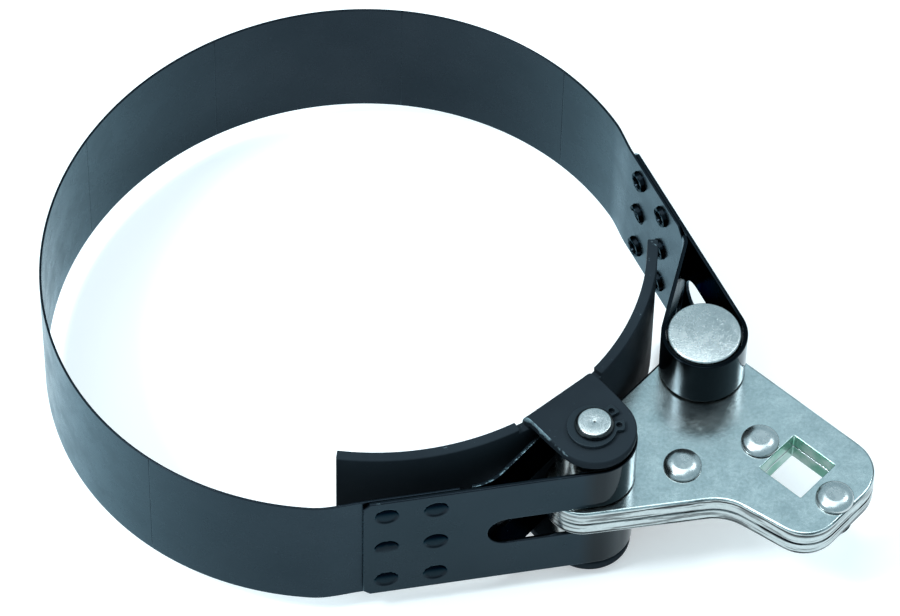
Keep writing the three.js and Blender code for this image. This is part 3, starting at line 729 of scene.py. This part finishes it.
def make_strap(name, strap, joint, node_name):
    line = strap_line(strap, joint)

    def mapping(s, z, d):
        p, way = line.at(s)
        out = right_of(way) * joint.side
        gloss = smooth((LOOP + GLOSS_REACH - (p - strap["centre"]).length) / GLOSS_FADE)
        shade_and_wear = 0.0
        # the strap's inner face past the slot start carries painted shade, fading in
        if d > STRAP * 0.9:
            gloss = 0.0
            shade_and_wear = INSIDE_SHADE * smooth((s - SLOT_START) / INSIDE_SHADE_FADE)
        if z > WIDTH - STRAP_EDGE and 0 < d < STRAP * 0.5:
            shade_and_wear = STRAP_EDGE_AGE
        on_leg = strap is NEAR_STRAP and s > line.length - LEG_LINE
        if on_leg and z > WIDTH - 0.05 and d > STRAP * 0.6:
            shade_and_wear = LEG_LINE_AGE
        # dents are pressed in, with painted shade inside and a painted highlight on the lower lip
        if d < STRAP / 2:
            for i, column in enumerate(COLUMNS):
                for row in ROWS:
                    dz = z - MID - row
                    r = math.hypot(s - column, dz)
                    if r < DENT_RADIUS:
                        lanced = i == 0 and row == 0
                        part = smooth((dz + DENT_LANCE_START) / DENT_LANCE_RUN) if lanced else 1
                        d += part * DENT_DEPTH * smooth((DENT_RADIUS - r) / DENT_WALL)
                        shade_and_wear = part * dent_shading(r, dz)
        q = p + out * (STRAP / 2 - d)
        return with_shade_and_wear(place(q.x, q.y, z), shade_and_wear, gloss)

    stations = line.stations(0.0, line.length)
    heights = levels(0, WIDTH, BAND_GRID)
    cut = STRAP_CORNER
    inner = [s for s in stations if s > cut + CUT_GAP]
    ring = [Vector((cut, 0.0))] + [Vector((s, 0.0)) for s in inner]
    ring += [Vector((line.length, z)) for z in heights[1:-1]]
    ring += [Vector((s, WIDTH)) for s in reversed(inner)] + [Vector((cut, WIDTH))]
    ring += [Vector((0.0, z)) for z in reversed(levels(cut, WIDTH - cut, BAND_GRID))]
    first = SLOT_START + SLOT_HALF
    last = max(s for s in stations if (line.at(s)[0] - joint.end).dot(joint.u) > first)
    along = [s for s in stations if first + CUT_GAP < s < last - CUT_GAP]
    slot = arc(Vector((first, MID)), SLOT_HALF, 270, 90, step=9)
    slot += [Vector((s, MID + SLOT_HALF)) for s in along]
    slot += arc(Vector((last, MID)), SLOT_HALF, 90, -90, step=9)
    slot += [Vector((s, MID - SLOT_HALF)) for s in reversed(along)]
    dents = [(Vector((s, MID + row)), DENT_RADIUS + KEEP_OUT) for s in COLUMNS for row in ROWS]
    rings = [DENT_RADIUS - DENT_WALL * k for k in (-0.4, 0, 0.25, 0.5, 0.75, 1.0, 1.6)] + [1.2]
    circles = [circle(c.x, c.y, r) for c, _ in dents for r in rings]
    grid = grid_points(stations[1:-1], heights, [ring, slot], margin=0.6, keep_out=dents)
    grid += [c for c, _ in dents]
    rims = [(STRAP_ROUND, STRAP_ROUND), (SLOT_ROUND, SLOT_ROUND)]
    verts, faces = sheet_mesh([ring, slot], mapping, STRAP, rims, grid, circles)
    piece = finished(name, verts, faces, STRAP_BLACK, "strap_black")
    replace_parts(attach(piece, node_name), node_name)


# ---------- shoe ----------
def make_shoe():
    axis = heading(SHOE_AXIS)
    across = Vector((-axis.y, axis.x))
    centre = PIVOT - axis * SHOE_REACH
    flat = math.degrees(math.asin(EAR_HALF / SHOE_RADIUS))
    flat_radius = math.sqrt(SHOE_RADIUS ** 2 - EAR_HALF ** 2)
    far_start = SHOE_AXIS + flat + FAR_ARM_START
    far_centre = centre + heading(far_start) * (SHOE_RADIUS - FAR_ARM_RADIUS)
    half = SHOE / 2
    straight = [centre + axis * (flat_radius + half) + across * y for y in (-EAR_HALF, EAR_HALF)]
    near_end = SHOE_AXIS - flat - NEAR_ARM_END
    near_arm = arc(centre, SHOE_RADIUS + half, SHOE_AXIS - NEAR_ARM, near_end, step=1.0)
    far_arm = arc(far_centre, FAR_ARM_RADIUS + half, far_start, far_start + FAR_ARM_SWEEP, step=1.0)
    line = Line(near_arm + straight + far_arm)
    a, b = line.nearest(straight[0]), line.nearest(straight[1])
    bend_start = WIDTH + EAR_GAP - EAR_BEND
    notch_floor = bend_start - RELIEF_DEPTH

    def wall(s, z, d):
        p, way = line.at(s)
        q = p + right_of(way) * (d - half)
        return with_shade_and_wear(place(q.x, q.y, z), SHOE_EDGE_AGE if 0 < d < SHOE else 0.0)

    stations = line.stations(0.0, line.length, turn=2.0, step=3.0)
    heights = levels(SHOE_LOW, SHOE_HIGH, SHOE_GRID)
    near, far = a - EAR_RELIEF, b + EAR_RELIEF
    left = [s for s in stations if s < near - CUT_GAP]
    right = [s for s in stations if s > far + CUT_GAP]
    ring = []
    for up in (-1, 1):
        top = SHOE_HIGH if up > 0 else WIDTH - SHOE_HIGH
        floor = notch_floor if up > 0 else WIDTH - notch_floor
        edge = [Vector((s, top)) for s in left + [near]]
        edge += [Vector((s, floor)) for s in [near] + levels(a, b, 3.0) + [far]]
        edge += [Vector((s, top)) for s in [far] + right]
        side = [Vector((line.length if up < 0 else 0.0, z)) for z in heights[1:-1]]
        ring += edge + side if up < 0 else edge[::-1] + side[::-1]
    floors = (notch_floor, WIDTH - notch_floor)
    grid = grid_points(stations[1:-1], heights, [ring], margin=0.8)
    meshes = [sheet_mesh([ring], wall, SHOE, [(SHOE_ROUND, SHOE_ROUND)], grid, (),
                         lambda p: 1 if a - 0.01 < p.x < b + 0.01 and p.y in floors else None)]

    middle_radius = EAR_BEND + half
    quarter = math.pi / 2 * middle_radius
    rise = bend_start - notch_floor
    out_start = flat_radius + SHOE + EAR_BEND
    pin_at = rise + quarter + SHOE_REACH - out_start
    for up in (1, -1):
        def ear(x, t, d):
            """x runs across the ear and t up the wall, round the bend and outwards."""
            if t < rise:
                r, z = flat_radius + d, notch_floor + t
            elif t < rise + quarter:
                turn = (t - rise) / middle_radius
                radius = EAR_BEND + SHOE - d
                r, z = out_start - radius * math.cos(turn), bend_start + radius * math.sin(turn)
            else:
                r, z = out_start + t - rise - quarter, bend_start + EAR_BEND + SHOE - d
            q = centre + axis * r + across * x
            edge = d < SHOE / 3 and x < -EAR_HALF + 0.5 and t > rise
            shiny = 1.0 if 0 < d < SHOE and t > rise else 0.0
            return with_shade_and_wear(place(q.x, q.y, z if up > 0 else WIDTH - z), EAR_EDGE_AGE if edge else 0.0, shiny)

        steps = [0.0, rise * 0.5] + [rise + quarter * i / 10 for i in range(11)] + [pin_at - 4.0]
        end = arc(Vector((0.0, pin_at)), EAR_RADIUS, 0, 180, step=5)
        edge = [Vector((-EAR_HALF, t)) for t in steps]
        outline = [Vector((x, 0.0)) for x in levels(-EAR_HALF, EAR_HALF, 3.0)]
        outline += [Vector((-p.x, p.y)) for p in edge[1:]] + end + edge[:0:-1]
        hole = circle(0.0, pin_at, PIN_RADIUS + BORE_FIT, 48)[::-1]
        grid = grid_points(levels(-9.0, 9.0, 3.0), steps[1:], [outline, hole], margin=0.9)
        rims = [(EAR_ROUND, EAR_ROUND), (EAR_BORE_ROUND, EAR_BORE_ROUND)]
        meshes.append(sheet_mesh([outline, hole], ear, SHOE, rims, grid, (),
                                 lambda p: 1 if p.y == 0.0 else None))
    verts, faces = [], []
    for v, f in meshes:
        faces += [tuple(i + len(verts) for i in face) for face in f]
        verts += v
    piece = finished("shoe_body", verts, faces, SHOE_BLACK, "shoe_black")
    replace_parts(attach(piece, "shoe"), "shoe")


# ---------- pivot pin, circlips, spacers ----------
EAR_TOP = WIDTH + EAR_GAP + SHOE
CLIP_FLOOR = EAR_TOP + CLIP_PLAY
PIN_TOP = EAR_TOP + PIN_PAST


def mirrored(profile):
    return [(r, WIDTH - z) for r, z in profile][::-1]


def make_pivot():
    groove = CLIP_INNER - FIT / 2
    floor, roof = CLIP_FLOOR - CLIP_PLAY, CLIP_FLOOR + CLIP + CLIP_PLAY
    upper = [(PIN_RADIUS, floor), (groove, floor), (groove, roof),
             (PIN_RADIUS, roof), (PIN_RADIUS, PIN_TOP - PIN_CHAMFER),
             (PIN_RADIUS - PIN_CHAMFER, PIN_TOP), (CENTRE_RADIUS, PIN_TOP), (0.0, PIN_TOP - CENTRE_DEPTH)]
    profile = eased(mirrored(upper) + upper, PIN_EASE)
    # the pin's side, from the circlip groove to just under its top face, carries painted shade for the
    # circlip's dark reflection
    piece = turned("pivot_pin_body", profile, PIVOT, PIN_ZINC, "pin_zinc",
                   lambda r, z: PIN_SIDE_SHADE if CLIP_FLOOR - MID < abs(z - MID) < PIN_TOP - MID - 0.1 else 0.0)
    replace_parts(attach(piece, "shoe"), "pivot_pin")

    def reach(a):
        a = min(a, 360 - a)
        ring = math.sqrt(CLIP_RING ** 2 - (CLIP_SHIFT * math.sin(math.radians(a))) ** 2)
        ring -= CLIP_SHIFT * math.cos(math.radians(a))
        end = CLIP_GAP_HALF + 2 * CLIP_LUG_HALF
        return ring + (CLIP_LUG - ring) * smooth((end + 5 - a) / 6)

    turns = levels(CLIP_GAP_HALF, 360 - CLIP_GAP_HALF, 2.5)
    outside = [PIVOT + heading(CLIP_GAP + a) * reach(a) for a in turns]
    ring = outside + [PIVOT + heading(CLIP_GAP + a) * CLIP_INNER for a in reversed(turns)]
    holes = []
    hole_radius = (CLIP_INNER + CLIP_LUG) / 2 + CLIP_HOLE_OUT
    for side in (1, -1):
        at = PIVOT + heading(CLIP_GAP + side * (CLIP_GAP_HALF + CLIP_LUG_HALF)) * hole_radius
        holes.append(circle(at.x, at.y, CLIP_HOLE, 24)[::-1])
    rims = [(CLIP_ROUND, CLIP_ROUND)] + [(CLIP_HOLE_ROUND, CLIP_HOLE_ROUND)] * 2
    for name, top in (("circlip_top", CLIP_FLOOR + CLIP), ("circlip_bottom", WIDTH - CLIP_FLOOR)):
        verts, faces = sheet_mesh([ring] + holes, lambda x, y, d: place(x, y, top - d), CLIP, rims)
        piece = finished(name + "_body", verts, faces, CLIP_BLACK, "clip_black")
        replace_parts(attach(piece, "shoe"), name)

    plate_top = MID + PLATE + TOUCH / 2
    bore = PIN_RADIUS + BORE_FIT
    for name, low, high in (("spacer_top", plate_top + FIT, WIDTH + EAR_GAP - FIT),
                            ("spacer_bottom", FIT - EAR_GAP, WIDTH - plate_top - FIT)):
        seam = (bore, (low + high) / 2)
        corners = [seam, (bore, low), (SPACER_RADIUS, low), (SPACER_RADIUS, high), (bore, high), seam]
        piece = turned(name + "_body", eased(corners, SPACER_EASE), PIVOT, LEVER_ZINC, "pin_zinc")
        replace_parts(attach(piece, "shoe"), name)


# ---------- lever ----------
def lever_outline():
    along = (PULL - PIVOT).normalized()
    outwards = Vector((-along.y, along.x))
    slope = heading(DRIVE_TURN - 90)
    edges = [(PIVOT + outwards * RING_SIDE, along), (DRIVE + heading(DRIVE_TURN) * DRIVE_WALL, slope),
             (DRIVE + slope * DRIVE_END, heading(DRIVE_TURN)), (WAIST, heading(WAIST_ANGLE)),
             (WAIST, heading(NEAR_ANGLE))]
    corners = [meet(*edges[i], *edges[(i + 1) % 5]) for i in (4, 0, 1, 2)] + [WAIST]
    return soften(corners, LEVER_CORNERS)


def dense(ring, step):
    """A closed outline with no side longer than step."""
    out = []
    for i, p in enumerate(ring):
        q = ring[(i + 1) % len(ring)]
        n = max(1, math.ceil((q - p).length / step))
        out += [p.lerp(q, k / n) for k in range(n)]
    return out


def make_lever():
    outline = dense(lever_outline(), LEVER_GRID)
    if sum(a.x * b.y - a.y * b.x for a, b in zip(outline, outline[1:] + outline[:1])) < 0:
        outline = outline[::-1]
    corners = [DRIVE + heading(DRIVE_TURN + 45 - 90 * i) * (DRIVE_SIDE / math.sqrt(2)) for i in range(4)]
    holes = [dense(soften(corners, [DRIVE_CORNER] * 4), 2.5)]
    holes += [circle(*PIVOT, PIN_RADIUS + BORE_FIT, 48)[::-1]]
    holes += [circle(*PULL, STEM_RADIUS + BORE_FIT, 48)[::-1]]
    holes += [circle(x, y, RIVET_HOLE, 32)[::-1] for x, y in RIVETS]
    across_x = levels(min(p.x for p in outline), max(p.x for p in outline), LEVER_GRID)
    across_y = levels(min(p.y for p in outline), max(p.y for p in outline), LEVER_GRID)
    grid = grid_points(across_x, across_y, [outline] + holes, margin=1.5)

    def plate(x, y, d, top):
        """The cut edge carries painted shade, darkest in a line under its outer corner and where the two plates
        meet.
        """
        offset = Vector((x, y)) - DRIVE
        way = heading(DRIVE_TURN)
        in_hole = max(abs(offset.dot(way)), abs(offset.dot(right_of(way)))) < DRIVE_SIDE / 2 + 0.15
        outer = d if top > MID else PLATE - d
        if not 0 < d < PLATE:
            return with_shade_and_wear(place(x, y, top - d), 0.0)
        if outer > PLATE - 0.4:
            return with_shade_and_wear(place(x, y, top - d), PLATE_GAP_SHADE if top > MID or not in_hole else 0.0)
        if in_hole:
            return with_shade_and_wear(place(x, y, top - d), 0.0, 1.0)
        in_line = SIDE_ROWS[0] < outer < SIDE_ROWS[2]
        return with_shade_and_wear(place(x, y, top - d), CUT_LINE_SHADE if in_line else CUT_EDGE_SHADE)

    for name, top, upper, lower in (
            ("lever_plate_top", MID + PLATE + TOUCH / 2, LEVER_ROUND, LEVER_INNER_ROUND),
            ("lever_plate_bottom", MID - TOUCH / 2, LEVER_INNER_ROUND, LEVER_ROUND)):
        rims = [(upper, lower), DRIVE_RIMS] + [BORE_RIMS] * 5
        rows = SIDE_ROWS if top > MID else [PLATE - d for d in reversed(SIDE_ROWS)]
        verts, faces = sheet_mesh([outline] + holes, lambda x, y, d: plate(x, y, d, top), PLATE, rims, grid,
                                  rows=rows)
        piece = finished(name + "_body", verts, faces, LEVER_ZINC, "lever_zinc")
        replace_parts(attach(piece, "lever"), name)

    seat = MID + PLATE + TOUCH / 2 + TOUCH
    turns = [math.radians(RIVET_TURN * k / 8) for k in range(9)]
    across = (RIVET_HEAD - RIVET_FLAT) / (1 - math.cos(turns[-1]))
    tall = (RIVET_RISE - RIVET_EDGE) / math.sin(turns[-1])
    dome = [(RIVET_HEAD - across * (1 - math.cos(t)), seat + RIVET_EDGE + tall * math.sin(t)) for t in turns]
    upper = [(3.0, seat), (RIVET_HEAD - 0.1, seat), (RIVET_HEAD, seat + 0.1)] + dome
    upper += [(RIVET_FLAT - SUPPORT, seat + RIVET_RISE), (0.0, seat + RIVET_RISE)]
    for i, at in enumerate(RIVETS):
        # a painted shadow ring round the foot of each rivet head
        piece = turned(f"lever_rivet_{i + 1}_body", mirrored(upper) + upper, at, RIVET_ZINC, "lever_zinc",
                       lambda r, z: RIVET_FOOT_SHADE if abs(z - MID) < seat - MID + 0.2 else 0.0)
        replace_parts(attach(piece, "lever"), f"lever_rivet_{i + 1}")

    barrel = seat - TOUCH + FIT
    stem = BARREL_FLOOR + FIT
    pin = [(0.0, stem), (STEM_RADIUS, stem), (STEM_RADIUS, barrel), (BARREL_RADIUS, barrel),
           (BARREL_RADIUS, WIDTH - BARREL_CHAMFER), (BARREL_RADIUS - BARREL_CHAMFER, WIDTH), (0.0, WIDTH)]
    piece = turned("pull_pin_body", eased(pin, BARREL_EASE), PULL, PIN_ZINC, "pin_zinc")
    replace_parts(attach(piece, "lever"), "pull_pin")
    bore, under = STEM_RADIUS + BORE_FIT, WIDTH - barrel
    collar = [(0.0, 0.0), (BARREL_RADIUS - BARREL_CHAMFER, 0.0), (BARREL_RADIUS, BARREL_CHAMFER),
              (BARREL_RADIUS, under), (bore, under), (bore, BARREL_FLOOR), (0.0, BARREL_FLOOR)]
    piece = turned("pull_pin_collar_body", eased(collar, BARREL_EASE), PULL, PIN_ZINC, "pin_zinc")
    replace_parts(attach(piece, "lever"), "pull_pin_collar")


make_band()
make_strap("pivot_strap_body", NEAR_STRAP, NEAR, "pivot_strap")
make_strap("pull_strap_body", FAR_STRAP, FAR, "pull_strap")
make_shoe()
make_pivot()
make_lever()


# ---------- floor, light, camera ----------
CAMERA_DISTANCE, CAMERA_ELEVATION, CAMERA_PAN, CAMERA_TILT = 1502.4, 54.60, -0.95, 0.33
LENS, SENSOR = 242.7, 36.0
FLOOR_HALF = 6.0
FLOOR_GREY = (0.80, 0.80, 0.80, 1.0)
FLOOR_GLOW = (0.38, 0.37, 0.37, 1.0)
SKY, SKY_STRENGTH = (0.60, 0.88, 1.0, 1.0), 0.8
LAMP_COLOUR = (0.85, 0.96, 1.0)
SOFTBOXES = (                             # name, place and side in metres, power in watts
    ("key", (-0.25, 0.12, 1.7), 1.2, 14),
    ("left", (-0.81, -0.32, 1.22), 0.3, 12),
    ("right", (0.72, 0.42, 1.22), 0.3, 3),
)


def make_floor():
    mesh = bpy.data.meshes.new("floor")
    corners = [(x * FLOOR_HALF, y * FLOOR_HALF) for x, y in ((-1, -1), (1, -1), (1, 1), (-1, 1))]
    mesh.from_pydata([(x, y, 0.0) for x, y in corners], [], [(0, 1, 2, 3)])
    floor = bpy.data.objects.new("floor", mesh)
    bpy.context.scene.collection.objects.link(floor)
    m, tree, bsdf = shader("floor_white")
    bsdf.inputs["Base Color"].default_value = FLOOR_GREY
    bsdf.inputs["Roughness"].default_value = 0.9
    bsdf.inputs["Specular IOR Level"].default_value = 0.0
    bsdf.inputs["Emission Color"].default_value = FLOOR_GLOW
    bsdf.inputs["Emission Strength"].default_value = 1.0
    mesh.materials.append(m)


def softbox(name, at, side, power):
    """A square soft lamp that points at the middle of the floor."""
    data = bpy.data.lights.new(name, "AREA")
    data.shape = "RECTANGLE"
    data.size, data.size_y = side, side
    data.energy = power
    data.color = LAMP_COLOUR
    light = bpy.data.objects.new(name, data)
    bpy.context.scene.collection.objects.link(light)
    light.location = at
    light.rotation_euler = (Vector((0, 0, 0)) - Vector(at)).to_track_quat("-Z", "Y").to_euler()


def make_light():
    world = bpy.data.worlds.new("studio")
    bpy.context.scene.world = world
    world.use_nodes = True
    tree = world.node_tree
    back = tree.nodes["Background"]
    back.inputs["Color"].default_value = SKY
    back.inputs["Strength"].default_value = SKY_STRENGTH
    for name, at, side, power in SOFTBOXES:
        softbox(name, at, side, power)
    bpy.context.scene.view_settings.view_transform = "Standard"
    bpy.context.scene.view_settings.look = "None"


def make_camera():
    data = bpy.data.cameras.new("camera")
    data.lens, data.sensor_width = LENS, SENSOR
    data.clip_start, data.clip_end = 0.1, 20.0
    camera = bpy.data.objects.new("camera", data)
    bpy.context.scene.collection.objects.link(camera)
    lift = math.radians(CAMERA_ELEVATION)
    at = place(0.0, -CAMERA_DISTANCE * math.cos(lift), CAMERA_DISTANCE * math.sin(lift))
    turn = Matrix.Rotation(math.pi / 2 - lift, 4, "X") @ Matrix.Rotation(math.radians(CAMERA_PAN), 4, "Y")
    turn = turn @ Matrix.Rotation(math.radians(CAMERA_TILT), 4, "X")
    camera.matrix_world = Matrix.Translation(at) @ turn
    bpy.context.scene.camera = camera


make_floor()
make_light()
make_camera()
